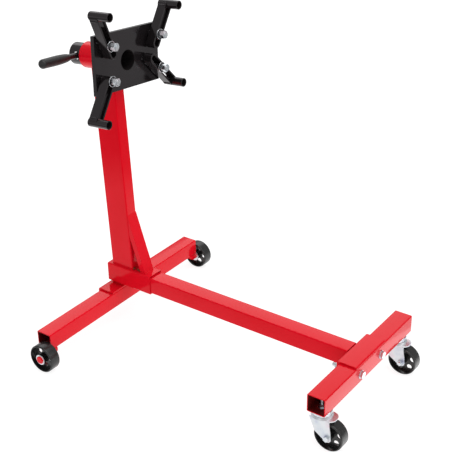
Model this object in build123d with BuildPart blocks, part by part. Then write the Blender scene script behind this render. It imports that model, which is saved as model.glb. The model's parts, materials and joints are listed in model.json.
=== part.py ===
from build123d import *
from math import atan2, cos, degrees, radians, sin, tan
import os

os.makedirs("parts", exist_ok=True)

# An engine stand on four wheels: a welded mast on a T-shaped base, with a turning head and four arms.
# Millimetres. +Z is up, -Y is the front (the side the engine hangs on), -X is the left side seen
# from the front. The origin is on the floor under the middle of the whole stand.

# --- frame tubes ---------------------------------------------------------------------------------
beam_size = 51.5              # square tube of the rear and main beams
front_beam_size = 54.0        # the front crossbeam is a size larger
beam_wall = 3.0
beam_corner = 3.5             # outside corner radius
rear_beam_length = 700.0
front_beam_length = 480.0
wheelbase = 855.0             # rear beam to front beam
rear_y = 405.6                # centre line of the rear beam
rear_beam_top = 106.4
front_beam_top = 170.5

# --- brackets that carry the main beam on the two crossbeams -------------------------------------
rear_bracket_width = 146.0
front_bracket_width = 159.0
bracket_overhang = 7.0        # behind the crossbeam, where the flange hangs down
bracket_plate = 6.0
front_bracket_round = 5.0     # of its top front edge
foot_width = 36.0             # spacer between the rear bracket and the base sleeve
foot_depth = 46.0
foot_height = 9.0
bracket_bolt_spacing = 112.0
bracket_bolt_tail = 58.0      # the bolts' rear ends, behind the front beam's centre line

# --- base sleeve, the socket that the main beam is pushed into -----------------------------------
sleeve_wall = 3.0
sleeve_side_gap = 0.5
sleeve_top_gap = 3.0
sleeve_rear = 28.0            # behind the rear beam's centre line
sleeve_front = 138.0          # in front of it

# --- mast and brace ------------------------------------------------------------------------------
lean = 2.5                    # the mast leans back by this angle in degrees
head_tilt = 4.2               # the head tips up a little further
mast_width = 40.5
mast_depth = 81.0
mast_wall = 3.0
mast_corner = 3.5
mast_foot_offset = 25.8       # mast centre line at the sleeve's top, in front of the rear beam's
brace_depth = 18.0
brace_wall = 4.0
brace_foot_offset = 116.0     # front of the brace at the sleeve's top, in front of the rear beam's
brace_height = 187.0          # where its front face runs out on the mast
brace_top_offset = 57.0       # the same point, in front of the rear beam's centre line

# --- wheels --------------------------------------------------------------------------------------
wheel_radius = 43.0
wheel_width = 35.0
wheel_gap = 3.5               # from the end of the rear beam to the wheel's inner face
wheel_forward = 18.0          # rear axle in front of the rear beam's centre line
rear_axle_radius = 8.5
axle_clearance = 0.08
wheel_hub_wall = 5.0
wheel_rim = 4.0
wheel_web = 3.0
wheel_tread_round = 3.5
web_hole_radius = 7.5
# holes in the web, radius of the circle they are on
rear_web = (5, 24.0)
caster_web = (6, 27.0)

# --- casters -------------------------------------------------------------------------------------
caster_x = 206.0
caster_trail = 28.0
stem_radius = 6.0
caster_axle_radius = 5.0
fork_half_width = 22.5
fork_wall = 3.0
fork_crown_top = 98.0
fork_end_radius = 12.0        # of each leg, round the axle
caster_nut_radius = 8.5       # to the corners of the hexagon

# --- head ----------------------------------------------------------------------------------------
head_height = 850.0           # spindle axis at the front face of the mounting plate
plate_forward = 80.0          # that point, in front of the rear beam's centre line
head_turn = -5.5              # how far the head has been turned, seen from the front
plate_width = 265.0
plate_height = 165.0
plate_lift = 4.0              # plate centre above the spindle axis
plate_thickness = 12.0
spindle_radius = 31.5
spindle_wall = 3.0
spindle_length = 193.0
sleeve_radius = 37.5
head_sleeve_start = 15.0      # behind the plate's front face
head_sleeve_end = 149.0
running_gap = 0.08

# --- handle and lock -----------------------------------------------------------------------------
handle_depth = 167.0          # behind the plate's front face
handle_radius = 9.0
handle_hole_radius = 11.0
grip_radius = 13.5
grip_start = 64.0
grip_length = 109.0
lock_depth = 96.0             # behind the plate's front face
lock_pin_radius = 6.0
index_holes = 8

# --- arms ----------------------------------------------------------------------------------------
arm_bar = 5.0                 # thickness of the bent flat bar
arm_slot = 18.0
arm_stand_off = 6.0           # washers between the plate and the arm
arm_depth = 28.0
arm_length = 132.0            # from the end sleeve's axis to the outside of the bend
end_sleeve_radius = 12.5
end_sleeve_bore = 10.0
end_sleeve_start = 2.0        # in front of the plate
end_sleeve_length = 68.0
arm_bolt_radius = 7.0
arm_nut_radius = 12.1         # to the corners of the hexagon
arm_nut_depth = 11.0
cup_washer_radius = 15.0
cup_washer_base = 1.4
running_clearance = 0.1
# name: bolt centre from the spindle axis, direction of the arm, bolt to end sleeve
arms = {
    "upper_left": ((-103.0, 58.5), 113.6, 92.5),
    "upper_right": ((103.0, 58.5), 58.9, 90.0),
    "lower_left": ((-105.0, -36.0), -121.1, 119.6),
    "lower_right": ((105.0, -36.0), -43.2, 74.5),
}

# --- worked out from the above -------------------------------------------------------------------
half_beam = beam_size / 2
front_y = rear_y - wheelbase
rear_beam_z = rear_beam_top - half_beam
front_half = front_beam_size / 2
front_beam_z = front_beam_top - front_half
front_beam_bottom = front_beam_top - front_beam_size
main_beam_top = front_beam_top + bracket_plate
main_beam_bottom = main_beam_top - beam_size
sleeve_bottom = rear_beam_top + bracket_plate + foot_height
sleeve_top = main_beam_top + sleeve_top_gap + sleeve_wall
front_flange_y = front_y + front_half + bracket_overhang
rear_end_x = rear_beam_length / 2

up_the_mast = Vector(0, sin(radians(lean)), cos(radians(lean)))
out_of_the_plate = Vector(0, -cos(radians(head_tilt)), sin(radians(head_tilt)))
mast_plane = Plane(
    origin=(0, rear_y - mast_foot_offset, sleeve_top), x_dir=(1, 0, 0), z_dir=up_the_mast
)
# level_head doesn't turn with the head; head does. Both start at the plate's front face.
level_head = Plane(
    origin=(0, rear_y - plate_forward, head_height), x_dir=(1, 0, 0), z_dir=out_of_the_plate
)


def turned(plane, angle):
    """The same plane turned about its own normal."""
    x_dir = plane.x_dir * cos(radians(angle)) + plane.y_dir * sin(radians(angle))
    return Plane(origin=plane.origin, x_dir=x_dir, z_dir=plane.z_dir)


head = turned(level_head, head_turn)


def save(piece, name):
    piece.part.label = name
    export_step(piece.part, f"parts/{name}.step")


def on_head(x, y, depth=0.0):
    """Plane parallel to the turned head, at a point on it and a depth behind its front face."""
    return Plane(origin=head.from_local_coords((x, y, -depth)), x_dir=head.x_dir, z_dir=head.z_dir)


# --- base ----------------------------------------------------------------------------------------
def tube_section(width, depth, wall, corner):
    RectangleRounded(width, depth, corner)
    RectangleRounded(width - 2 * wall, depth - 2 * wall, corner - wall, mode=Mode.SUBTRACT)


def make_rear_crossbeam():
    with BuildPart() as beam:
        with BuildSketch(Plane.YZ.offset(-rear_end_x)):
            with Locations((rear_y, rear_beam_z)):
                tube_section(beam_size, beam_size, beam_wall, beam_corner)
        extrude(amount=rear_beam_length)
    save(beam, "rear_crossbeam")


def make_front_crossbeam():
    """The casters' stems pass its lower wall, and two bolts pass it from back to front."""
    with BuildPart() as beam:
        with BuildSketch(Plane.YZ.offset(-front_beam_length / 2)):
            with Locations((front_y, front_beam_z)):
                tube_section(front_beam_size, front_beam_size, beam_wall, beam_corner)
        extrude(amount=front_beam_length)
        with BuildSketch(Plane.XY.offset(front_beam_z)):
            with Locations((-caster_x, front_y), (caster_x, front_y)):
                Circle(stem_radius + 0.5)
        extrude(amount=-front_beam_size, mode=Mode.SUBTRACT)
        with BuildSketch(Plane.XZ.offset(-front_y)):
            with GridLocations(bracket_bolt_spacing, 1, 2, 1):
                with Locations((0, front_beam_z)):
                    Circle(bracket_bolt_radius + 0.5)
        extrude(amount=front_beam_size, both=True, mode=Mode.SUBTRACT)
    save(beam, "front_crossbeam")


def make_bracket(name, centre_y, beam_top, size, width):
    """Bent plate: it lies on a crossbeam of the given size and turns down behind it."""
    front = centre_y - size / 2
    back = centre_y + size / 2 + bracket_overhang
    beam_back = back - bracket_overhang
    top = beam_top + bracket_plate
    outline = [
        (front, beam_top),
        (front, top),
        (back, top),
        (back, beam_top - size),
        (beam_back, beam_top - size),
        (beam_back, beam_top),
    ]
    with BuildPart() as bracket:
        with BuildSketch(Plane.YZ.offset(-width / 2)):
            Polygon(*outline, align=None)
        extrude(amount=width)
        top_edges = bracket.edges().filter_by(Axis.X).group_by(Axis.Z)[-1]
        fillet(top_edges.sort_by(Axis.Y)[-1], bracket_overhang - 1)
        if name == "front_bracket":
            top_edges = bracket.edges().filter_by(Axis.X).group_by(Axis.Z)[-1]
            fillet(top_edges.sort_by(Axis.Y)[0], front_bracket_round)
            with BuildSketch(Plane.XZ.offset(-back)):
                with GridLocations(bracket_bolt_spacing, 1, 2, 1):
                    with Locations((0, front_beam_z)):
                        Circle(bracket_bolt_radius + 0.5)
            extrude(amount=bracket_overhang, mode=Mode.SUBTRACT)
    save(bracket, name)


def make_mast_foot():
    with BuildPart() as foot:
        with BuildSketch(Plane.XY.offset(rear_beam_top + bracket_plate)):
            with Locations((0, rear_y)):
                Rectangle(foot_width, foot_depth)
        extrude(amount=foot_height)
    save(foot, "mast_foot")


beam_bolt_ys = [rear_y - 60, rear_y - 112]
beam_bolt_radius = 5.0
beam_nut_radius = 9.8         # to the corners of the hexagon
beam_nut_depth = 8.0
bracket_bolt_radius = 6.0
bracket_nut_radius = 10.9
bracket_nut_depth = 10.0
bracket_washer_radius = 12.0
washer_depth = 2.5


def make_base_sleeve():
    height = sleeve_top - sleeve_bottom
    width = beam_size + 2 * (sleeve_side_gap + sleeve_wall)
    with BuildPart() as sleeve:
        with BuildSketch(Plane.XZ.offset(-(rear_y + sleeve_rear))):
            with Locations((0, sleeve_bottom + height / 2)):
                tube_section(width, height, sleeve_wall, beam_corner)
        extrude(amount=sleeve_rear + sleeve_front)
        with BuildSketch(Plane.XY.offset(sleeve_bottom)):
            with Locations(*[(0, y) for y in beam_bolt_ys]):
                Circle(beam_bolt_radius + 0.5)
        extrude(amount=2 * sleeve_wall, mode=Mode.SUBTRACT)
    save(sleeve, "base_sleeve")


def make_main_beam():
    rear_end = rear_y + 20
    with BuildPart() as beam:
        with BuildSketch(Plane.XZ.offset(-rear_end)):
            with Locations((0, main_beam_top - half_beam)):
                tube_section(beam_size, beam_size, beam_wall, beam_corner)
        extrude(amount=rear_end - front_flange_y)
        with BuildSketch(Plane.XY.offset(main_beam_bottom)):
            with Locations(*[(0, y) for y in beam_bolt_ys]):
                Circle(beam_bolt_radius + 0.5)
        extrude(amount=2 * beam_wall, mode=Mode.SUBTRACT)
    save(beam, "main_beam")


def make_beam_bolts():
    """Two bolts from below that hold the main beam in the base sleeve, each with its nut."""
    centres = [(0, y) for y in beam_bolt_ys]
    with BuildPart() as bolts:
        with BuildSketch(Plane.XY.offset(sleeve_bottom)):
            with Locations(*centres):
                Circle(beam_bolt_radius)
        extrude(amount=18)
        with BuildSketch(Plane.XY.offset(sleeve_bottom)):
            with Locations(*centres):
                RegularPolygon(beam_nut_radius, 6)
        extrude(amount=-6.5)
        with BuildSketch(Plane.XY.offset(main_beam_bottom + beam_wall)):
            with Locations(*centres):
                RegularPolygon(beam_nut_radius, 6)
        extrude(amount=beam_nut_depth)
    save(bolts, "beam_bolts")


def at_bracket_bolts(y):
    """Plane facing forward at a distance along Y, and the two bolts' places on it."""
    centres = [(x, front_beam_z) for x in (-bracket_bolt_spacing / 2, bracket_bolt_spacing / 2)]
    return Plane.XZ.offset(-y), centres


def make_bracket_bolts():
    """Heads in front of the crossbeam, long threaded ends behind the bracket's flange."""
    head_seat = front_y - front_half - washer_depth
    tail = front_y + bracket_bolt_tail
    with BuildPart() as bolts:
        plane, centres = at_bracket_bolts(tail)
        with BuildSketch(plane):
            with Locations(*centres):
                Circle(bracket_bolt_radius)
        extrude(amount=tail - head_seat)
        chamfer(bolts.edges().filter_by(GeomType.CIRCLE).group_by(Axis.Y)[-1], 1)
        plane, centres = at_bracket_bolts(head_seat)
        with BuildSketch(plane):
            with Locations(*centres):
                RegularPolygon(bracket_nut_radius, 6)
        extrude(amount=7.5)
    save(bolts, "bracket_bolts")


def make_bracket_nuts():
    """A washer under each head, and a washer and a nut behind the flange, for both bolts."""
    layers = (
        (front_y - front_half, bracket_washer_radius, washer_depth),
        (front_flange_y + washer_depth, bracket_washer_radius, washer_depth),
    )
    with BuildPart() as nuts:
        for start, radius, depth in layers:
            plane, centres = at_bracket_bolts(start)
            with BuildSketch(plane):
                with Locations(*centres):
                    Circle(radius)
                    Circle(bracket_bolt_radius, mode=Mode.SUBTRACT)
            extrude(amount=depth)
        plane, centres = at_bracket_bolts(front_flange_y + washer_depth)
        with BuildSketch(plane):
            with Locations(*centres):
                RegularPolygon(bracket_nut_radius, 6)
                Circle(bracket_bolt_radius, mode=Mode.SUBTRACT)
        extrude(amount=-bracket_nut_depth)
    save(nuts, "bracket_nuts")


# --- rear wheels ---------------------------------------------------------------------------------
def make_wheel(name, x, y, bore, web, first_hole):
    """Moulded wheel: a hub, a thin web with holes through it, and a rounded tread."""
    half = wheel_width / 2
    hub_radius = bore + wheel_hub_wall
    rim_radius = wheel_radius - wheel_rim
    web_half = wheel_web / 2
    tread_edge = wheel_radius - wheel_tread_round
    centre = (x, y, wheel_radius)
    hole_count, hole_pitch = web
    with BuildPart() as wheel:
        with BuildSketch(Plane(origin=centre, x_dir=(1, 0, 0), z_dir=(0, -1, 0))):
            with BuildLine():
                Polyline(
                    (0, wheel_radius),
                    (0, bore),
                    (half, bore),
                    (half, hub_radius),
                    (web_half, hub_radius + 1),
                    (web_half, rim_radius - 1.5),
                    (half, rim_radius),
                    (half, tread_edge),
                )
                RadiusArc((half, tread_edge), (half - wheel_tread_round, wheel_radius), -wheel_tread_round)
                Line((half - wheel_tread_round, wheel_radius), (0, wheel_radius))
            make_face()
            mirror(about=Plane.YZ)
        revolve(axis=Axis(centre, (1, 0, 0)))
        with BuildSketch(Plane.YZ.offset(x)):
            with Locations((y, wheel_radius)):
                with PolarLocations(hole_pitch, hole_count, first_hole):
                    Circle(web_hole_radius)
        extrude(amount=wheel_web, both=True, mode=Mode.SUBTRACT)
    save(wheel, name)


def make_rear_wheel_set(side, sign, first_hole):
    """Wheel, axle, its block under the beam, and washers; sign is -1 on the left."""
    axle_y = rear_y - wheel_forward
    inner_face = rear_end_x + wheel_gap
    outer_face = inner_face + wheel_width
    axle_inside = 13.0            # how far the axle goes into its block
    axle_start = rear_end_x - axle_inside
    axle_tail = 6.0               # outside the wheel
    beam_bottom = rear_beam_top - beam_size
    axle_head_radius = 11.5
    block_bottom = wheel_radius - rear_axle_radius / 2
    block_length = 25.0
    block_front = rear_y - half_beam
    block_depth = 24.0
    washer_radius = 16.0
    washer_gap = 0.4
    head_start = outer_face + washer_gap + washer_depth

    def at_x(distance):
        """Plane facing outward at a distance from the middle, with its centre on the axle."""
        centre = (sign * distance, axle_y, wheel_radius)
        return Plane(origin=centre, x_dir=(0, sign, 0), z_dir=(sign, 0, 0))

    inner = rear_end_x - block_length
    outline = [
        (sign * rear_end_x, beam_bottom),
        (sign * rear_end_x, block_bottom),
        (sign * (axle_start - 2), block_bottom),
        (sign * inner, block_bottom + rear_axle_radius / 2),
        (sign * inner, beam_bottom),
    ]
    with BuildPart() as block:
        with BuildSketch(Plane.XZ.offset(-(block_front + block_depth))):
            Polygon(*outline, align=None)
        extrude(amount=block_depth)
        with BuildSketch(at_x(axle_start)):
            Circle(rear_axle_radius)
        extrude(amount=2 * axle_inside, mode=Mode.SUBTRACT)
    save(block, f"{side}_axle_bracket")

    with BuildPart() as axle:
        with BuildSketch(at_x(axle_start)):
            Circle(rear_axle_radius)
        extrude(amount=outer_face + axle_tail - axle_start)
        with BuildSketch(at_x(head_start)):
            Circle(axle_head_radius)
        extrude(amount=outer_face + axle_tail - head_start)
        chamfer(axle.edges().filter_by(GeomType.CIRCLE).group_by(Axis.X)[0], 1.2)
        chamfer(axle.edges().filter_by(GeomType.CIRCLE).group_by(Axis.X)[-1], 1.2)
    save(axle, f"{side}_rear_axle")

    with BuildPart() as washers:
        spacer = (rear_end_x, wheel_gap - washer_gap)
        outer_washer = (outer_face + washer_gap, washer_depth)
        for start, depth in (spacer, outer_washer):
            with BuildSketch(at_x(start)):
                Circle(washer_radius)
                Circle(rear_axle_radius, mode=Mode.SUBTRACT)
            extrude(amount=depth)
    save(washers, f"{side}_wheel_washers")

    wheel_x = sign * (inner_face + wheel_width / 2)
    bore = rear_axle_radius + axle_clearance
    make_wheel(f"{side}_rear_wheel", wheel_x, axle_y, bore, rear_web, first_hole)


# --- casters -------------------------------------------------------------------------------------
dish_top = 103.2              # the fork's raised ball race
dish_radius = 30.5            # at its foot
cup_bottom = 104.0
cup_rim = 115.0
cup_radius = 27.5
collar_radius = 20.0
ball_level = 103.6
ball_pitch_radius = 21.0
ball_radius = 2.6
ball_count = 16
ball_gap = 0.4
stem_top = 144.0


def ball_groove():
    with Locations((ball_pitch_radius, ball_level)):
        Circle(ball_radius + ball_gap)


def make_caster(side, sign, first_hole):
    x = sign * caster_x
    axle_y = front_y - caster_trail
    swivel = Axis((x, front_y, 0), (0, 0, 1))
    side_view = Plane(origin=(x, front_y, 0), x_dir=(1, 0, 0), z_dir=(0, -1, 0))
    nut_seat = front_beam_bottom + beam_wall
    stem_washer_radius = 13.0
    head_depth = 7.0
    axle_nut_depth = 8.0
    axle_tail = 11.0              # outside the leg, through the nut
    crown_bottom = fork_crown_top - fork_wall

    with BuildPart() as stem:
        flange_top = fork_crown_top - 0.4
        flange_bottom = flange_top - 4.2
        with BuildSketch(side_view):
            with BuildLine():
                Polyline(
                    (0, flange_bottom),
                    (9, flange_bottom),
                    (10.5, flange_bottom + 1.5),
                    (10.5, flange_top),
                    (stem_radius, flange_top),
                    (stem_radius, stem_top - 1),
                    (stem_radius - 1, stem_top),
                    (0, stem_top),
                    (0, flange_bottom),
                )
            make_face()
        revolve(axis=swivel)
    save(stem, f"{side}_caster_stem")

    with BuildPart() as nut:
        with BuildSketch(Plane.XY.offset(nut_seat)):
            with Locations((x, front_y)):
                Circle(stem_washer_radius)
                Circle(stem_radius, mode=Mode.SUBTRACT)
        extrude(amount=washer_depth)
        with BuildSketch(Plane.XY.offset(nut_seat + washer_depth)):
            with Locations((x, front_y)):
                RegularPolygon(bracket_nut_radius, 6)
                Circle(stem_radius, mode=Mode.SUBTRACT)
        extrude(amount=bracket_nut_depth)
    save(nut, f"{side}_caster_stem_nut")

    with BuildPart() as cup:
        shoulder = cup_radius - 3.5
        with BuildSketch(side_view):
            with BuildLine():
                Polyline(
                    (shoulder, cup_rim),
                    (collar_radius, cup_rim),
                    (collar_radius, front_beam_bottom),
                    (stem_radius, front_beam_bottom),
                    (stem_radius, cup_bottom + 3),
                    (16, cup_bottom + 3),
                    (16, cup_bottom),
                    (cup_radius, cup_bottom),
                    (cup_radius, cup_rim - 3.5),
                )
                RadiusArc((shoulder, cup_rim), (cup_radius, cup_rim - 3.5), 3.5)
            make_face()
        revolve(axis=swivel)
        with BuildSketch(side_view):
            ball_groove()
        revolve(axis=swivel, mode=Mode.SUBTRACT)
    save(cup, f"{side}_caster_cup")

    with BuildPart() as balls:
        with Locations((x, front_y, ball_level)):
            with PolarLocations(ball_pitch_radius, ball_count):
                Sphere(ball_radius)
    save(balls, f"{side}_caster_balls")

    leg = [
        (front_y + 27, crown_bottom),
        (front_y + 9, 53.0),
        (front_y - 38, 60.0),
        (front_y - 33, crown_bottom),
    ]
    crown_length = 72.0
    crown_centre = front_y - 8
    dish = [
        (0, fork_crown_top - 1),
        (dish_radius, fork_crown_top - 1),
        (cup_radius, dish_top),
        (0, dish_top),
    ]
    with BuildPart() as fork:
        with BuildSketch(Plane.XY.offset(crown_bottom)):
            with Locations((x, crown_centre)):
                RectangleRounded(2 * fork_half_width, crown_length, 20)
        extrude(amount=fork_wall)
        with BuildSketch(side_view):
            Polygon(*dish, align=None)
        revolve(axis=swivel)
        with BuildSketch(Plane.XY.offset(crown_bottom)):
            with Locations((x, front_y)):
                Circle(fork_half_width - 2 * fork_wall)
        extrude(amount=fork_wall, mode=Mode.SUBTRACT)
        for leg_x in (x - fork_half_width, x + fork_half_width - fork_wall):
            with BuildSketch(Plane.YZ.offset(leg_x)):
                Polygon(*leg, align=None)
                with Locations((axle_y, wheel_radius)):
                    Circle(fork_end_radius)
                make_hull()
            extrude(amount=fork_wall)
        with BuildSketch(Plane.YZ.offset(x)):
            with Locations((axle_y, wheel_radius)):
                Circle(caster_axle_radius)
        extrude(amount=beam_size, both=True, mode=Mode.SUBTRACT)
        with BuildSketch(Plane.XY.offset(crown_bottom)):
            with Locations((x, front_y)):
                Circle(stem_radius + running_gap)
        extrude(amount=30, mode=Mode.SUBTRACT)
        with BuildSketch(side_view):
            ball_groove()
        revolve(axis=swivel, mode=Mode.SUBTRACT)
    save(fork, f"{side}_caster_fork")

    outer_leg = Plane(origin=(x + sign * fork_half_width, axle_y, wheel_radius), z_dir=(sign, 0, 0))
    inner_leg = Plane(origin=(x - sign * fork_half_width, axle_y, wheel_radius), z_dir=(-sign, 0, 0))
    with BuildPart() as axle:
        with BuildSketch(inner_leg.offset(axle_tail)):
            Circle(caster_axle_radius)
        extrude(amount=-(2 * fork_half_width + axle_tail))
        with BuildSketch(outer_leg):
            RegularPolygon(caster_nut_radius, 6)
        extrude(amount=head_depth)
    save(axle, f"{side}_caster_axle")

    with BuildPart() as axle_nut:
        with BuildSketch(inner_leg):
            RegularPolygon(caster_nut_radius, 6)
            Circle(caster_axle_radius, mode=Mode.SUBTRACT)
        extrude(amount=axle_nut_depth)
    save(axle_nut, f"{side}_caster_axle_nut")

    bore = caster_axle_radius + axle_clearance
    make_wheel(f"{side}_caster_wheel", x, axle_y, bore, caster_web, first_hole)


# --- mast ----------------------------------------------------------------------------------------
def make_mast():
    """Cut level on the base sleeve, and coped to the head sleeve at the top."""
    with BuildPart() as mast:
        with BuildSketch(mast_plane.offset(-10)):
            tube_section(mast_width, mast_depth, mast_wall, mast_corner)
        extrude(amount=head_height - sleeve_top + 6)
        split(bisect_by=Plane.XY.offset(sleeve_top), keep=Keep.TOP)
        with BuildSketch(level_head):
            Circle(sleeve_radius)
            with Locations((0, sleeve_radius + 20)):
                Rectangle(4 * sleeve_radius, 2 * (sleeve_radius + 20))
        extrude(amount=-300, mode=Mode.SUBTRACT)
    save(mast, "mast")


def make_mast_brace():
    """Channel with its open side to the mast, from the base sleeve up to the mast's front."""
    run = brace_foot_offset - brace_top_offset
    slope = degrees(atan2(run, brace_height))
    foot = (0, rear_y - brace_foot_offset, sleeve_top)
    along = Vector(0, sin(radians(slope)), cos(radians(slope)))
    mast_front = mast_plane.from_local_coords((0, -mast_depth / 2, 0))
    with BuildPart() as brace:
        with BuildSketch(Plane(origin=foot, x_dir=(1, 0, 0), z_dir=along).offset(-20)):
            with Locations((0, brace_depth / 2)):
                Rectangle(mast_width, brace_depth)
            with Locations((0, brace_wall + brace_depth / 2)):
                Rectangle(mast_width - 2 * brace_wall, brace_depth, mode=Mode.SUBTRACT)
        extrude(amount=brace_height + 60)
        split(bisect_by=Plane.XY.offset(sleeve_top), keep=Keep.TOP)
        split(bisect_by=Plane(origin=mast_front, x_dir=(1, 0, 0), z_dir=-mast_plane.y_dir), keep=Keep.TOP)
    save(brace, "mast_brace")


# --- head ----------------------------------------------------------------------------------------
def make_head_sleeve():
    with BuildPart() as sleeve:
        with BuildSketch(level_head.offset(-head_sleeve_start)):
            Circle(sleeve_radius)
            Circle(spindle_radius + running_gap, mode=Mode.SUBTRACT)
        extrude(amount=head_sleeve_start - head_sleeve_end)
        with BuildSketch(lock_plane()):
            Circle(lock_pin_radius + 0.3)
        extrude(amount=2 * sleeve_radius, mode=Mode.SUBTRACT)
    save(sleeve, "head_sleeve")


def lock_plane(distance=0.0):
    """Plane on the lock pin's axis, facing +X, at a distance from the spindle axis."""
    origin = level_head.from_local_coords((distance, 0, -lock_depth))
    return Plane(origin=origin, x_dir=level_head.y_dir, z_dir=(1, 0, 0))


def make_spindle_tube():
    with BuildPart() as tube:
        with BuildSketch(head):
            Circle(spindle_radius)
            Circle(spindle_radius - spindle_wall, mode=Mode.SUBTRACT)
        extrude(amount=-spindle_length)
        handle_centre = head.from_local_coords((0, 0, -handle_depth))
        cross = Plane(origin=handle_centre, x_dir=head.y_dir, z_dir=head.x_dir)
        with BuildSketch(cross):
            Circle(handle_hole_radius)
        extrude(amount=2 * spindle_radius, both=True, mode=Mode.SUBTRACT)
        lock_centre = head.from_local_coords((0, 0, -lock_depth))
        ring = Plane(origin=lock_centre, x_dir=head.x_dir, z_dir=head.z_dir)
        for number in range(index_holes):
            facing = turned(ring, number * 360 / index_holes)
            with BuildSketch(Plane(origin=facing.origin, x_dir=facing.z_dir, z_dir=facing.x_dir)):
                Circle(lock_pin_radius + 0.5)
            extrude(amount=2 * spindle_radius, mode=Mode.SUBTRACT)
    save(tube, "spindle_tube")


def make_mounting_plate():
    with BuildPart() as plate:
        with BuildSketch(on_head(0, 0)):
            with Locations((0, plate_lift)):
                RectangleRounded(plate_width, plate_height, 3)
            Circle(spindle_radius, mode=Mode.SUBTRACT)
            with Locations(*[centre for centre, angle, reach in arms.values()]):
                Circle(arm_bolt_radius + 0.6, mode=Mode.SUBTRACT)
        extrude(amount=-plate_thickness)
    save(plate, "mounting_plate")


def make_handle():
    """Plain bar through the spindle with a rubber grip on its left end."""
    inner_end = 38.0
    outer_end = grip_start + grip_length - 8
    side_on = Plane(
        origin=head.from_local_coords((0, 0, -handle_depth)), x_dir=head.y_dir, z_dir=-head.x_dir
    )
    with BuildPart() as bar:
        with BuildSketch(side_on.offset(-inner_end)):
            Circle(handle_radius)
        extrude(amount=inner_end + outer_end)
        chamfer(bar.edges().filter_by(GeomType.CIRCLE), 1.5)
    save(bar, "handle_bar")

    along = Plane(origin=side_on.origin, x_dir=side_on.z_dir, z_dir=head.z_dir)
    end = grip_start + grip_length
    with BuildPart() as grip:
        with BuildSketch(along):
            with BuildLine():
                Polyline((outer_end, 0), (outer_end, handle_radius), (grip_start, handle_radius))
                Polyline((grip_start, handle_radius), (grip_start, handle_radius + 1.2))
                Spline(
                    (grip_start, handle_radius + 1.2),
                    (grip_start + 14, grip_radius - 1),
                    (end - 11, grip_radius),
                    tangents=((1, 0.3), (1, 0)),
                )
                RadiusArc((end - 11, grip_radius), (end, 2.5), 11)
                Polyline((end, 2.5), (end, 0), (outer_end, 0))
            make_face()
        revolve(axis=Axis(along.origin, along.x_dir))
    save(grip, "handle_grip")


def make_lock():
    """Pin with a knob, drawn back in its boss so that the head can turn."""
    boss_radius = 11.0
    boss_length = 22.0
    pin_length = 46.0
    neck_radius = 9.0
    neck_length = 8.0
    knob_radius = 15.0
    knob_length = 10.0
    with BuildPart() as boss:
        with BuildSketch(lock_plane(sleeve_radius - 4)):
            Circle(boss_radius)
            Circle(lock_pin_radius + 0.3, mode=Mode.SUBTRACT)
        extrude(amount=boss_length)
        with BuildSketch(level_head.offset(-lock_depth - 20)):
            Circle(sleeve_radius)
        extrude(amount=40, mode=Mode.SUBTRACT)
    save(boss, "lock_boss")

    with BuildPart() as pin:
        with BuildSketch(lock_plane(spindle_radius + 1)):
            Circle(lock_pin_radius)
        extrude(amount=pin_length)
        chamfer(pin.edges().filter_by(GeomType.CIRCLE).group_by(Axis.X)[0], 1)
    save(pin, "lock_pin")

    knob_start = spindle_radius + 37
    with BuildPart() as knob:
        with BuildSketch(lock_plane(knob_start)):
            Circle(neck_radius)
        extrude(amount=neck_length)
        with BuildSketch(lock_plane(knob_start + neck_length)):
            Circle(knob_radius)
        extrude(amount=knob_length)
        fillet(knob.edges().filter_by(GeomType.CIRCLE).group_by(Axis.X)[-1], 4)
        with BuildSketch(lock_plane(knob_start)):
            Circle(lock_pin_radius)
        extrude(amount=knob_length, mode=Mode.SUBTRACT)
    save(knob, "lock_knob")


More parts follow.
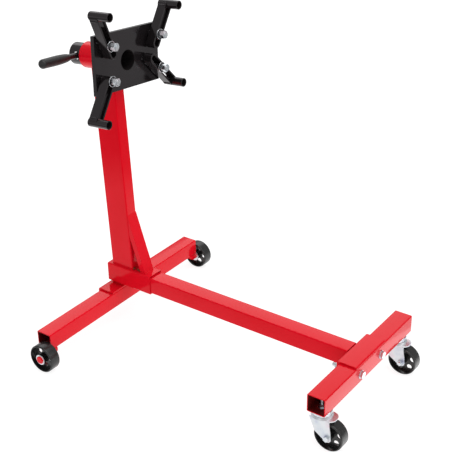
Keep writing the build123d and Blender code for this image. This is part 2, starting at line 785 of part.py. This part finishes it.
# --- arms ----------------------------------------------------------------------------------------
def make_arm(name, centre, angle, reach):
    """Flat bar bent into a hairpin, with a sleeve across its open end, and its clamping bolt."""
    half_slot = arm_slot / 2
    outer = half_slot + arm_bar
    bend_x = outer - arm_length
    bolt_plane = turned(on_head(*centre), angle)
    sleeve_axis = bolt_plane.from_local_coords((reach, 0, 0))
    arm_plane = Plane(origin=sleeve_axis, x_dir=bolt_plane.x_dir, z_dir=bolt_plane.z_dir)
    arm_back = arm_stand_off + running_clearance
    arm_front = arm_back + arm_depth + running_clearance
    spacer_end = arm_front + washer_depth + 7
    nut_end = spacer_end + arm_nut_depth

    with BuildPart() as arm:
        with BuildSketch(arm_plane.offset(arm_back)):
            with Locations((bend_x / 2, 0)):
                Rectangle(-bend_x, 2 * outer)
            with Locations((bend_x, 0)):
                Circle(outer)
                Circle(half_slot, mode=Mode.SUBTRACT)
            with Locations((bend_x / 2, 0)):
                Rectangle(-bend_x, arm_slot, mode=Mode.SUBTRACT)
            Circle(end_sleeve_radius, mode=Mode.SUBTRACT)
        extrude(amount=arm_depth)
    save(arm, f"{name}_arm")

    with BuildPart() as end_sleeve:
        with BuildSketch(arm_plane.offset(end_sleeve_start)):
            Circle(end_sleeve_radius)
            Circle(end_sleeve_bore, mode=Mode.SUBTRACT)
        extrude(amount=end_sleeve_length)
    save(end_sleeve, f"{name}_arm_sleeve")

    with BuildPart() as bolt:
        with BuildSketch(bolt_plane.offset(nut_end + 1.5)):
            Circle(arm_bolt_radius)
        extrude(amount=-(nut_end + 1.5 + plate_thickness + 1))
        with BuildSketch(bolt_plane.offset(-plate_thickness - running_clearance)):
            RegularPolygon(arm_nut_radius, 6)
        extrude(amount=-9)
    save(bolt, f"{name}_arm_bolt")

    # washers behind the arm, then a cupped washer and a collar in front of it
    rings = (
        (running_clearance, arm_stand_off, 12.0, arm_bolt_radius),
        (arm_front, arm_front + cup_washer_base, cup_washer_radius, arm_bolt_radius),
        (arm_front + cup_washer_base, arm_front + washer_depth, cup_washer_radius, cup_washer_radius - 1.8),
        (arm_front + cup_washer_base, spacer_end, 9.0, arm_bolt_radius),
    )
    with BuildPart() as nut:
        for start, stop, radius, bore in rings:
            with BuildSketch(bolt_plane.offset(start)):
                Circle(radius)
                Circle(bore, mode=Mode.SUBTRACT)
            extrude(amount=stop - start)
        with BuildSketch(bolt_plane.offset(spacer_end)):
            RegularPolygon(arm_nut_radius, 6)
            Circle(arm_bolt_radius, mode=Mode.SUBTRACT)
        extrude(amount=arm_nut_depth)
    save(nut, f"{name}_arm_nut")


make_rear_crossbeam()
make_front_crossbeam()
make_bracket("rear_bracket", rear_y, rear_beam_top, beam_size, rear_bracket_width)
make_bracket("front_bracket", front_y, front_beam_top, front_beam_size, front_bracket_width)
make_mast_foot()
make_base_sleeve()
make_main_beam()
make_beam_bolts()
make_bracket_bolts()
make_bracket_nuts()
make_mast()
make_mast_brace()
make_head_sleeve()
make_spindle_tube()
make_mounting_plate()
make_handle()
make_lock()
for side, sign, rear_hole, caster_hole in (("left", -1, 48, 50), ("right", 1, 38, 48)):
    make_rear_wheel_set(side, sign, rear_hole)
    make_caster(side, sign, caster_hole)
for name, (centre, angle, reach) in arms.items():
    make_arm(name, centre, angle, reach)
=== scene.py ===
import json
from math import cos, pi, radians, sin, tan

import bmesh
import bpy
from mathutils import Matrix, Vector

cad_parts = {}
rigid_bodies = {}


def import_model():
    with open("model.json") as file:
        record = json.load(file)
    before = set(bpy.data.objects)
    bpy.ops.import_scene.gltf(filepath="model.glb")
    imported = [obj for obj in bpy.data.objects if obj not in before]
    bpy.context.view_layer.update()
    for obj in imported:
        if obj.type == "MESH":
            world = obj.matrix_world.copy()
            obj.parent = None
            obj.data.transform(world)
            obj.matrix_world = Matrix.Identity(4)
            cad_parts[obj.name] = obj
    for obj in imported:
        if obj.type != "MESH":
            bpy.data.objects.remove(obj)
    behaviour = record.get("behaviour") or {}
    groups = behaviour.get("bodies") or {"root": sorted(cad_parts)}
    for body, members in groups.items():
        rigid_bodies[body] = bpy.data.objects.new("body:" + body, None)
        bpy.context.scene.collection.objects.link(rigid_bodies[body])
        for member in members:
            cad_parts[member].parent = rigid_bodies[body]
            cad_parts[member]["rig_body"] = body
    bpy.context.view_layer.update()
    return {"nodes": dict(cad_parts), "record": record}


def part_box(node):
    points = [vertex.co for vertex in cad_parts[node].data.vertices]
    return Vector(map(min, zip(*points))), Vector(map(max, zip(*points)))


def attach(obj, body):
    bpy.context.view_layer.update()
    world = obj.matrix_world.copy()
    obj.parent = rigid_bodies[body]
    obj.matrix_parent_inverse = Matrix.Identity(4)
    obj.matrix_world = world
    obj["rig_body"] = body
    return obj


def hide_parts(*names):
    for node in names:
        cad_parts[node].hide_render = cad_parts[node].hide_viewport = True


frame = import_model()
record = frame["record"]
node_slots = {s["node"]: s["material_slot"] for s in record["subparts"]}


# --- materials -----------------------------------------------------------------------------------
def shader_material(name):
    material = bpy.data.materials.new(name)
    material.use_nodes = True
    tree = material.node_tree
    shader = tree.nodes["Principled BSDF"]
    place = tree.nodes.new("ShaderNodeTexCoord")
    return material, tree, shader, place.outputs["Object"]


def object_place(material):
    return material.node_tree.nodes["Texture Coordinate"].outputs["Object"]


def noise(tree, place, scale, detail=3.0):
    node = tree.nodes.new("ShaderNodeTexNoise")
    node.inputs["Scale"].default_value = scale
    node.inputs["Detail"].default_value = detail
    tree.links.new(place, node.inputs["Vector"])
    return node.outputs["Fac"]


def ramp(tree, value, stops):
    node = tree.nodes.new("ShaderNodeValToRGB")
    elements = node.color_ramp.elements
    while len(elements) < len(stops):
        elements.new(0.5)
    for element, (position, colour) in zip(elements, stops):
        element.position = position
        element.color = (*colour, 1.0)
    tree.links.new(value, node.inputs["Fac"])
    return node.outputs["Color"]


def spread(tree, value, low, high):
    node = tree.nodes.new("ShaderNodeMapRange")
    node.inputs["From Min"].default_value = 0.3
    node.inputs["From Max"].default_value = 0.7
    node.inputs["To Min"].default_value = low
    node.inputs["To Max"].default_value = high
    tree.links.new(value, node.inputs["Value"])
    return node.outputs["Result"]


def bump(tree, shader, value, height):
    node = tree.nodes.new("ShaderNodeBump")
    node.inputs["Strength"].default_value = 1.0
    node.inputs["Distance"].default_value = height
    tree.links.new(value, node.inputs["Height"])
    tree.links.new(node.outputs["Normal"], shader.inputs["Normal"])


def vector_math(tree, operation, first, second=None):
    node = tree.nodes.new("ShaderNodeVectorMath")
    node.operation = operation
    for socket, value in zip(node.inputs, (first, second)):
        if isinstance(value, (tuple, list)):
            socket.default_value = value
        elif value is not None:
            tree.links.new(value, socket)
    return node.outputs["Value" if operation == "LENGTH" else "Vector"]


def number_math(tree, operation, first, second=None):
    node = tree.nodes.new("ShaderNodeMath")
    node.operation = operation
    for socket, value in zip(node.inputs, (first, second)):
        if isinstance(value, (int, float)):
            socket.default_value = value
        elif value is not None:
            tree.links.new(value, socket)
    return node.outputs["Value"]


def square_bore(tree, place, axis, centre, half):
    """1 inside a square tube, 0 on its outside."""
    node = tree.nodes.new("ShaderNodeSeparateXYZ")
    tree.links.new(vector_math(tree, "SUBTRACT", place, centre), node.inputs["Vector"])
    across = [number_math(tree, "ABSOLUTE", node.outputs[i]) for i in range(3) if i != axis]
    return number_math(tree, "LESS_THAN", number_math(tree, "MAXIMUM", *across), half)


def round_bore(tree, place, centre, direction, radius):
    """1 inside a round tube, 0 on its outside."""
    offset = vector_math(tree, "SUBTRACT", place, centre)
    distance = vector_math(tree, "LENGTH", vector_math(tree, "CROSS_PRODUCT", offset, direction))
    return number_math(tree, "LESS_THAN", distance, radius)


def paint_shade_inside(material, mask, colour, strength=1.0):
    """Painted shade inside a tube: a darker colour in patches over the bore, and a duller, rougher finish
    there.
    """
    tree = material.node_tree
    shader = tree.nodes["Principled BSDF"]
    patchy = spread(tree, noise(tree, object_place(material), 60.0), 0.8, 1.0)
    amount = number_math(tree, "MULTIPLY", number_math(tree, "MULTIPLY", mask, patchy), strength)
    for socket, value in (("Base Color", (*colour, 1.0)), ("Roughness", (0.6, 0.6, 0.6, 1.0))):
        mix = tree.nodes.new("ShaderNodeMix")
        mix.data_type = "RGBA"
        old = shader.inputs[socket].links[0].from_socket
        tree.links.new(amount, mix.inputs["Factor"])
        tree.links.new(old, mix.inputs["A"])
        mix.inputs["B"].default_value = value
        tree.links.new(mix.outputs["Result"], shader.inputs[socket])


def painted(name, dark, light, roughness, tint, peel):
    """Glossy paint: nearly even colour and a faint orange peel that bends its reflections."""
    material, tree, shader, place = shader_material(name)
    broad = noise(tree, place, 7.0, 2.0)
    tree.links.new(ramp(tree, broad, ((0.35, dark), (0.65, light))), shader.inputs["Base Color"])
    tree.links.new(spread(tree, noise(tree, place, 40.0), *roughness), shader.inputs["Roughness"])
    shader.inputs["Specular Tint"].default_value = (*tint, 1.0)
    bump(tree, shader, noise(tree, place, 240.0, 1.0), peel)
    return material


def metal(name, dark, light, roughness, grain):
    material, tree, shader, place = shader_material(name)
    shader.inputs["Metallic"].default_value = 1.0
    broad = noise(tree, place, 35.0, 4.0)
    tree.links.new(ramp(tree, broad, ((0.3, dark), (0.7, light))), shader.inputs["Base Color"])
    tree.links.new(spread(tree, noise(tree, place, 180.0), *roughness), shader.inputs["Roughness"])
    bump(tree, shader, noise(tree, place, 900.0, 2.0), grain)
    return material


def moulded(name, dark, light, roughness, grain):
    material, tree, shader, place = shader_material(name)
    mottle = noise(tree, place, 25.0)
    tree.links.new(ramp(tree, mottle, ((0.3, dark), (0.7, light))), shader.inputs["Base Color"])
    tree.links.new(spread(tree, noise(tree, place, 90.0), *roughness), shader.inputs["Roughness"])
    bump(tree, shader, noise(tree, place, 1400.0, 2.0), grain)
    return material


orange_peel = 0.000004


def red_paint(name="red_gloss_paint"):
    return painted(name, (0.69, 0.004, 0.013), (0.73, 0.006, 0.018), (0.08, 0.12), (1, 0, 0), orange_peel)


def black_paint(name="black_gloss_paint"):
    dark, light = (0.007, 0.0056, 0.0062), (0.009, 0.0074, 0.008)
    return painted(name, dark, light, (0.10, 0.15), (1, 0.92, 0.96), orange_peel)


def plated(name, low=0.20, high=0.34):
    """Zinc plate with the faint violet and straw tints of its passivation."""
    material, tree, shader, place = shader_material(name)
    shader.inputs["Metallic"].default_value = 1.0
    tints = (
        (0.30, (0.52, 0.54, 0.64)),
        (0.42, (0.64, 0.68, 0.72)),
        (0.55, (0.70, 0.72, 0.74)),
        (0.66, (0.70, 0.63, 0.68)),
        (0.74, (0.72, 0.69, 0.60)),
    )
    tree.links.new(ramp(tree, noise(tree, place, 28.0, 3.0), tints), shader.inputs["Base Color"])
    tree.links.new(spread(tree, noise(tree, place, 150.0), low, high), shader.inputs["Roughness"])
    bump(tree, shader, noise(tree, place, 900.0, 2.0), 0.000006)
    return material


# slot of the record: kind, dark and light colour, least and most roughness, height of the grain
slots = {
    "wheel_plastic": (moulded, (0.008, 0.008, 0.008), (0.013, 0.0125, 0.013), (0.22, 0.30), 0.000004),
    "grip_rubber": (moulded, (0.012, 0.0115, 0.012), (0.02, 0.019, 0.02), (0.38, 0.5), 0.00002),
    "knob_plastic": (moulded, (0.01, 0.01, 0.01), (0.015, 0.015, 0.015), (0.15, 0.25), 0.000002),
    "ball_steel": (metal, (0.7, 0.7, 0.7), (0.8, 0.8, 0.8), (0.05, 0.1), 0.000002),
}
materials = {"red_paint": red_paint(), "black_paint": black_paint(), "zinc": plated("zinc_plate")}
for slot, (kind, *look) in slots.items():
    materials[slot] = kind(slot, *look)


# --- where things are, from the CAD --------------------------------------------------------------
def middle(node):
    low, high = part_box(node)
    return (Vector(low) + Vector(high)) / 2


head_tilt = radians(4.2)
head_turn = radians(-5.5)
rear_y = middle("rear_crossbeam").y
out_of_plate = Vector((0, -cos(head_tilt), sin(head_tilt)))
plate_up = Vector((0, sin(head_tilt), cos(head_tilt)))
head_right = Vector((1, 0, 0)) * cos(head_turn) + plate_up * sin(head_turn)
head_up = plate_up * cos(head_turn) - Vector((1, 0, 0)) * sin(head_turn)
plate_forward = 0.080         # plate's front face at the spindle axis, in front of the rear beam
head_height = 0.850
head_centre = Vector((0, rear_y - plate_forward, head_height))
# bolt centre from the spindle axis, direction of the arm, bolt to end sleeve
arms = {
    "upper_left": ((-0.103, 0.0585), 113.6, 0.0925),
    "upper_right": ((0.103, 0.0585), 58.9, 0.090),
    "lower_left": ((-0.105, -0.036), -121.1, 0.1196),
    "lower_right": ((0.105, -0.036), -43.2, 0.0745),
}


def arm_frame(centre, angle):
    """Matrix of an arm's bolt: x along the arm, z out of the plate, origin on the plate's face."""
    turn = radians(angle)
    along = head_right * cos(turn) + head_up * sin(turn)
    origin = head_centre + head_right * centre[0] + head_up * centre[1]
    axes = Matrix((along, out_of_plate.cross(along), out_of_plate)).transposed()
    return Matrix.Translation(origin) @ axes.to_4x4()


arm_frames = {name: arm_frame(centre, angle) for name, (centre, angle, reach) in arms.items()}

# --- materials of single nodes -------------------------------------------------------------------
node_materials = {}
# node: the axis it runs along, and half its inner width and a little more
square_tubes = {"rear_crossbeam": (0, 0.0232), "front_crossbeam": (0, 0.0245), "main_beam": (1, 0.0232)}
for node, (axis, half) in square_tubes.items():
    tube = red_paint(f"red_paint_{node}")
    mask = square_bore(tube.node_tree, object_place(tube), axis, tuple(middle(node)), half)
    # dark red-brown painted shade inside the square tube, with duller paint there
    paint_shade_inside(tube, mask, (0.042, 0.008, 0.006), 0.93)
    node_materials[node] = tube
# name: node, a point on its axis, a radius just over its bore's, and the painted shade colour in the bore
round_tubes = {"spindle": ("spindle_tube", head_centre, 0.029, (0.0035, 0.0022, 0.002))}
for name, (centre, angle, reach) in arms.items():
    node = f"{name}_arm_sleeve"
    axis_point = arm_frames[name] @ Vector((reach, 0, 0))
    round_tubes[node] = (node, axis_point, 0.0104, (0.006, 0.0028, 0.0022))
for name, (node, axis_point, radius, colour) in round_tubes.items():
    tube = black_paint(f"black_paint_{name}")
    mask = round_bore(tube.node_tree, object_place(tube), tuple(axis_point), tuple(out_of_plate), radius)
    # darker painted shade inside the round bore, with duller paint there
    paint_shade_inside(tube, mask, colour)
    node_materials[node] = tube
pressed_zinc = plated("pressed_zinc", 0.34, 0.48)
for side in ("left", "right"):
    node_materials[f"{side}_caster_fork"] = pressed_zinc
    node_materials[f"{side}_wheel_washers"] = pressed_zinc
sharp_angle = radians(32)


def material_of(node):
    return node_materials.get(node, materials[node_slots[node]])


def finish_node(name, obj):
    obj.data.materials.clear()
    obj.data.materials.append(material_of(name))
    for face in obj.data.polygons:
        face.use_smooth = True
    obj.data.set_sharp_from_angle(angle=sharp_angle)


for name, obj in frame["nodes"].items():
    finish_node(name, obj)


# --- pieces --------------------------------------------------------------------------------------
def add_piece(name, mesh, material, body, slot, *nodes):
    piece = bpy.data.objects.new(name, mesh)
    mesh.materials.clear()
    mesh.materials.append(material)
    for face in mesh.polygons:
        face.use_smooth = True
    bpy.context.scene.collection.objects.link(piece)
    if nodes:
        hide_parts(*nodes)
    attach(piece, body)
    return piece


def body_of(node):
    return frame["nodes"][node]["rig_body"]


def round_edges(node, width, dissolve=True):
    """The part's own shape with its edges eased, so that they catch the light as painted steel does."""
    form = bmesh.new()
    form.from_mesh(frame["nodes"][node].data)
    bmesh.ops.remove_doubles(form, verts=form.verts, dist=0.000004)
    if dissolve:
        bmesh.ops.dissolve_limit(form, angle_limit=radians(0.6), verts=form.verts, edges=form.edges)
    clean = bmesh.new()
    corners = {vertex: clean.verts.new(vertex.co) for vertex in form.verts}
    for face in form.faces:
        clean.faces.new([corners[vertex] for vertex in face.verts])
    mesh = bpy.data.meshes.new(f"eased_{node}")
    clean.to_mesh(mesh)
    clean.free()
    form.free()
    piece = add_piece(f"eased_{node}", mesh, material_of(node), body_of(node), node_slots[node], node)
    bevel = piece.modifiers.new("ease", "BEVEL")
    bevel.width = width
    bevel.segments = 2
    bevel.limit_method = "ANGLE"
    bevel.angle_limit = sharp_angle
    bevel.harden_normals = True


def lathe(form, matrix, profile, count=48):
    """Turned surface from (radius, height) points.

    A radius may be a function of the angle, and a height a function of the radius there.
    """
    rings = []
    for radius, height in profile:
        ring = []
        for i in range(count):
            angle = 2 * pi * i / count
            r = radius(angle) if callable(radius) else radius
            h = height(r) if callable(height) else height
            ring.append(form.verts.new(matrix @ Vector((r * cos(angle), r * sin(angle), h))))
        rings.append(ring)
    for lower, upper in zip(rings, rings[1:]):
        for i in range(count):
            j = (i + 1) % count
            form.faces.new((lower[i], lower[j], upper[j], upper[i]))


def hexagon(radius):
    """Distance from the axis to a hexagon's side, by angle; its corners are at the radius."""
    return lambda angle: radius * cos(pi / 6) / cos((angle % (pi / 3)) - pi / 6)


def nut_profile(radius, start, stop, bore):
    """Hexagon nut with its corners chamfered at both ends and a countersunk bore."""
    flat = radius * cos(pi / 6) * 0.97
    slope = tan(radians(30))
    side = hexagon(radius)
    return (
        (bore, start + 0.0006),
        (bore + 0.0006, start),
        (flat, start),
        (side, lambda r: start + max(0.0, r - flat) * slope),
        (side, lambda r: stop - max(0.0, r - flat) * slope),
        (flat, stop),
        (bore + 0.0008, stop),
        (bore, stop - 0.0008),
        (bore, start + 0.0006),
    )


def finish_form(form, name):
    bmesh.ops.remove_doubles(form, verts=form.verts, dist=0.0000005)
    bmesh.ops.recalc_face_normals(form, faces=form.faces)
    mesh = bpy.data.meshes.new(name)
    form.to_mesh(mesh)
    form.free()
    mesh.set_sharp_from_angle(angle=radians(35))
    return mesh


def top_of(matrix, node):
    """Greatest height of a CAD node above an arm's own plane."""
    back = matrix.inverted()
    return max((back @ vertex.co).z for vertex in frame["nodes"][node].data.vertices)


bolt_bore = 0.0070
spacer_starts = (0.0002, 0.0031)
spacer_depth = 0.0028
arm_face = 0.0343             # front of the arm, above the plate's face
nut_radius = 0.0120
nut_depth = 0.0108


def spacer_profile(start):
    stop = start + spacer_depth
    return (
        (bolt_bore, start),
        (0.0116, start),
        (0.0120, start + 0.0004),
        (0.0120, stop - 0.0004),
        (0.0116, stop),
        (bolt_bore, stop),
        (bolt_bore, start),
    )


# height above the arm's face
washer_seat = (
    (bolt_bore, 0.0),
    (0.0136, 0.0),
    (0.0136, 0.0008),
    (0.0129, 0.0010),
    (bolt_bore, 0.0012),
    (bolt_bore, 0.0),
)
washer_rim = (
    (0.0137, 0.0001),
    (0.0144, 0.0001),
    (0.0149, 0.0006),
    (0.0149, 0.0019),
    (0.0145, 0.0023),
    (0.0141, 0.0023),
    (0.0137, 0.0019),
    (0.0137, 0.0001),
)


def above_arm(profile):
    return [(radius, arm_face + height) for radius, height in profile]


def thread_profile(start, stop):
    pitch = 0.0014
    root = 0.0072
    crest = 0.0084
    inside = bolt_bore - 0.0006
    profile = [(inside, start)]
    height = start
    while height < stop - 0.0018:
        profile += [(crest, height + 0.0004), (crest, height + 0.0008), (root, height + 0.0013)]
        height += pitch
    return profile + [(root, stop), (inside, stop), profile[0]]


def make_arm_nut(name):
    """Spacer washers, a cupped washer and a chamfered hexagon nut on one threaded bolt."""
    matrix = arm_frames[name]
    node = f"{name}_arm_nut"
    body = body_of(node)
    form = bmesh.new()
    for start in spacer_starts:
        lathe(form, matrix, spacer_profile(start))
    lathe(form, matrix, above_arm(washer_seat))
    mesh = finish_form(form, f"{name}_spacers")
    # black paint on these zinc spacers and on the washer's inner seat: painted shade behind the arm and a
    # painted dark reflection inside the washer's bright rim
    add_piece(f"{name}_spacers", mesh, materials["black_paint"], body, "black_paint")

    form = bmesh.new()
    lathe(form, matrix, above_arm(washer_rim))
    nut_end = top_of(matrix, node) - 0.0002
    nut_start = nut_end - nut_depth
    lathe(form, matrix, thread_profile(arm_face + 0.0013, nut_start))
    lathe(form, matrix, nut_profile(nut_radius, nut_start, nut_end, bolt_bore), 72)
    mesh = finish_form(form, f"{name}_nut_stack")
    add_piece(f"{name}_nut_stack", mesh, material_of(node), body, node_slots[node], node)


def weld(name, points, radius, node, seed=0, material=None):
    """Weld bead: a low rope of overlapping ripples, under the same paint as its parts."""
    step = 0.0007
    ripple_length = 0.0042
    sides = 10
    form = bmesh.new()
    path = [Vector(point) for point in points]
    steps = []
    for start, end in zip(path, path[1:]):
        count = max(2, round((end - start).length / step))
        steps += [start.lerp(end, i / count) for i in range(count)]
    steps.append(path[-1])
    rings = []
    for i, centre in enumerate(steps):
        ahead = (steps[min(i + 1, len(steps) - 1)] - steps[max(i - 1, 0)]).normalized()
        side = ahead.cross(Vector((0.31, 0.17, 0.93))).normalized()
        up = side.cross(ahead)
        ripple = abs(cos(i * step / ripple_length * pi + seed))
        closing = min(1.0, 0.25 + 0.25 * min(i, len(steps) - 1 - i))
        swell = radius * closing * (0.86 + 0.14 * ripple + 0.06 * cos(i * 0.23 + seed))
        ring = []
        for j in range(sides):
            angle = 2 * pi * j / sides
            ring.append(form.verts.new(centre + (side * cos(angle) + up * sin(angle)) * swell))
        rings.append(ring)
    for lower, upper in zip(rings, rings[1:]):
        for j in range(sides):
            k = (j + 1) % sides
            form.faces.new((lower[j], lower[k], upper[k], upper[j]))
    form.faces.new(rings[0])
    form.faces.new(rings[-1])
    mesh = finish_form(form, name)
    add_piece(name, mesh, material or material_of(node), body_of(node), node_slots[node])


eased = {
    "mounting_plate": 0.0012,
    "rear_bracket": 0.0007,
    "front_bracket": 0.0007,
    "rear_crossbeam": 0.0005,
    "front_crossbeam": 0.0005,
    "main_beam": 0.0005,
    "base_sleeve": 0.0006,
    "mast_foot": 0.0008,
    "mast_brace": 0.0008,
    "left_axle_bracket": 0.0010,
    "right_axle_bracket": 0.0010,
    "spindle_tube": 0.0006,
    "head_sleeve": 0.0006,
}
for side in ("left", "right"):
    eased[f"{side}_rear_wheel"] = 0.0009
    eased[f"{side}_caster_wheel"] = 0.0009
    eased[f"{side}_wheel_washers"] = 0.0004
    eased[f"{side}_caster_fork"] = 0.0006
    eased[f"{side}_caster_cup"] = 0.0005
    eased[f"{side}_caster_axle"] = 0.0007
    eased[f"{side}_caster_axle_nut"] = 0.0007
for name in arms:
    eased[f"{name}_arm"] = 0.0011
    eased[f"{name}_arm_sleeve"] = 0.0006
    eased[f"{name}_arm_bolt"] = 0.0008
for node, width in eased.items():
    round_edges(node, width, dissolve=not node.endswith("_wheel"))
for name in arms:
    make_arm_nut(name)

# --- weld beads, on the corners between two parts ------------------------------------------------
# dark brown, duller beads in the corner between mast and brace and inside the brace
dark_brown_bead_colours = ((0.10, 0.016, 0.008), (0.24, 0.03, 0.012))
dark_brown_bead = painted("dark_brown_bead_paint", *dark_brown_bead_colours, (0.45, 0.6), (1, 0.5, 0.3), 0.00002)
foot_low, foot_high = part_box("mast_foot")
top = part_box("base_sleeve")[1][2] + 0.0006
foot_level = foot_low[2] + 0.001
mast_side = 0.0203
foot_side = 0.0186
mast_back = rear_y + 0.0116
mast_front = rear_y - 0.0630
brace_front = rear_y - 0.1150
for sign, side in ((-1, "left"), (1, "right")):
    edge = sign * mast_side
    line = ((edge, mast_back, top), (edge, mast_front, top))
    weld(f"{side}_mast_weld", line, 0.0021, "mast", 0.4)
    line = ((edge, brace_front + 0.018, top), (edge, brace_front + 0.002, top))
    weld(f"{side}_brace_weld", line, 0.0020, "mast_brace", 1.1)
    edge = sign * foot_side
    line = ((edge, foot_low[1] + 0.002, foot_level), (edge, foot_high[1] - 0.002, foot_level))
    weld(f"{side}_foot_weld", line, 0.0020, "mast_foot", 0.2)
bead_front = brace_front - 0.0006
weld("brace_foot_weld", ((-0.017, bead_front, top), (0.017, bead_front, top)), 0.0022, "mast_brace", 0.9)
line = (
    (-0.0192, rear_y - 0.0672, top + 0.0014),
    (-0.0145, rear_y - 0.0690, top + 0.0022),
    (-0.0130, rear_y - 0.0740, top + 0.0010),
)
weld("mast_front_weld", line, 0.0036, "mast", 0.0, dark_brown_bead)
line = (
    (-0.0150, rear_y - 0.0960, top + 0.0008),
    (-0.0150, rear_y - 0.0860, top + 0.0012),
    (-0.0120, rear_y - 0.0770, top + 0.0008),
)
weld("brace_inner_weld", line, 0.0030, "mast_brace", 0.7, dark_brown_bead)
for name, (centre, angle, reach) in arms.items():
    for side, place in ((-1, "low"), (1, "high")):
        ends = [Vector((reach - 0.0090, side * 0.0145, height)) for height in (0.0075, 0.0325)]
        line = [arm_frames[name] @ end for end in ends]
        weld(f"{name}_sleeve_weld_{place}", line, 0.0017, f"{name}_arm", 0.5)


# --- floor, light and camera ---------------------------------------------------------------------
def glowing(name, radiance):
    material = bpy.data.materials.new(name)
    material.use_nodes = True
    shader = material.node_tree.nodes["Principled BSDF"]
    shader.inputs["Base Color"].default_value = (0, 0, 0, 1)
    shader.inputs["Specular IOR Level"].default_value = 0.0
    shader.inputs["Emission Color"].default_value = (1, 1, 1, 1)
    shader.inputs["Emission Strength"].default_value = radiance
    return material


def make_floor():
    """White paper that glows a little, so that shadows on it stay faint."""
    bpy.ops.mesh.primitive_plane_add(size=60, location=(0, 0, 0))
    floor = bpy.context.object
    floor.name = "studio_floor"
    material, tree, shader, place = shader_material("studio_floor")
    shader.inputs["Base Color"].default_value = (0.3, 0.3, 0.3, 1)
    shader.inputs["Roughness"].default_value = 0.9
    shader.inputs["Specular IOR Level"].default_value = 0.0
    shader.inputs["Emission Color"].default_value = (1, 1, 1, 1)
    shader.inputs["Emission Strength"].default_value = 0.84
    floor.data.materials.append(material)


def reflector(name, outline, radiance, hole=None):
    """Studio card on the floor that only shows in reflections; a hole leaves a ring."""
    mesh = bpy.data.meshes.new(name)
    form = bmesh.new()
    outer = [form.verts.new((x, y, 0.0)) for x, y in outline]
    if hole:
        inner = [form.verts.new((x, y, 0.0)) for x, y in hole]
        for i in range(len(outer)):
            j = (i + 1) % len(outer)
            form.faces.new((outer[i], outer[j], inner[j], inner[i]))
    else:
        form.faces.new(outer)
    form.to_mesh(mesh)
    form.free()
    card = bpy.data.objects.new(name, mesh)
    card.location = (0, 0, 0.0006)
    mesh.materials.append(glowing(name, radiance))
    bpy.context.scene.collection.objects.link(card)
    card.visible_camera = False
    card.visible_diffuse = False
    card.visible_shadow = False
    return card


def grade(card, stops, reach):
    """Makes a card's light change with the distance from its middle."""
    tree = card.data.materials[0].node_tree
    place = tree.nodes.new("ShaderNodeTexCoord").outputs["Object"]
    distance = number_math(tree, "DIVIDE", vector_math(tree, "LENGTH", place), reach)
    greys = [(position, (value, value, value)) for position, value in stops]
    tree.links.new(ramp(tree, distance, greys), tree.nodes["Principled BSDF"].inputs["Emission Color"])


def circle(radius, count=48):
    angles = [2 * pi * i / count for i in range(count)]
    return [(radius * cos(angle), radius * sin(angle)) for angle in angles]


def softbox(name, place, aim, size, radiance):
    """Area lamp of an even radiance."""
    data = bpy.data.lights.new(name, "AREA")
    data.shape = "RECTANGLE"
    data.size, data.size_y = size
    data.energy = radiance * pi * size[0] * size[1]
    lamp = bpy.data.objects.new(name, data)
    lamp.location = place
    lamp.rotation_euler = (Vector(aim) - Vector(place)).to_track_quat("-Z", "Y").to_euler()
    bpy.context.scene.collection.objects.link(lamp)


def sun(name, direction, strength, angle):
    data = bpy.data.lights.new(name, "SUN")
    data.energy = strength
    data.angle = radians(angle)
    lamp = bpy.data.objects.new(name, data)
    lamp.rotation_euler = Vector(direction).to_track_quat("-Z", "Y").to_euler()
    bpy.context.scene.collection.objects.link(lamp)


def make_camera():
    azimuth, elevation, roll = radians(-54.0), radians(27.7), radians(-1.0)
    distance = 2.9804
    target = Vector((0.0029, 0.0001, 0.4229))
    back = Vector((sin(azimuth) * cos(elevation), -cos(azimuth) * cos(elevation), sin(elevation)))
    data = bpy.data.cameras.new("camera")
    data.sensor_width = 36.0
    data.lens = 84.55
    data.clip_end = 100.0
    camera = bpy.data.objects.new("camera", data)
    bpy.context.scene.collection.objects.link(camera)
    turn = (-back).to_track_quat("-Z", "Y").to_matrix() @ Matrix.Rotation(roll, 3, "Z")
    camera.matrix_world = Matrix.Translation(target + back * distance) @ turn.to_4x4()
    bpy.context.scene.camera = camera


def make_world():
    world = bpy.data.worlds.new("studio")
    world.use_nodes = True
    world.node_tree.nodes["Background"].inputs["Color"].default_value = (1, 1, 1, 1)
    world.node_tree.nodes["Background"].inputs["Strength"].default_value = 0.5
    bpy.context.scene.world = world
    bpy.context.scene.view_settings.view_transform = "Standard"


make_floor()
make_world()
softbox("back_wall", (4.7, 3.7, 5.0), (0, 0, 0.1), (8.0, 3.6), 1.32)
sun("top_light", (-0.1, 0.3, -1.0), 1.12, 50)
sun("front_light", (-0.2, 1.0, -0.6), 0.55, 40)
sun("left_light", (1.0, 0.1, -0.5), 0.28, 40)
far_floor = reflector("far_floor", circle(12.0), 1.0, circle(1.0))
far_floor.location.y = 0.35
grade(far_floor, ((0.087, 1.0), (0.112, 0.2), (0.19, 0.2), (0.25, 0.55)), 12.0)
reflector("front_bounce", ((-0.35, -0.95), (0.9, -0.95), (0.9, -0.53), (-0.35, -0.53)), 1.9)
make_camera()
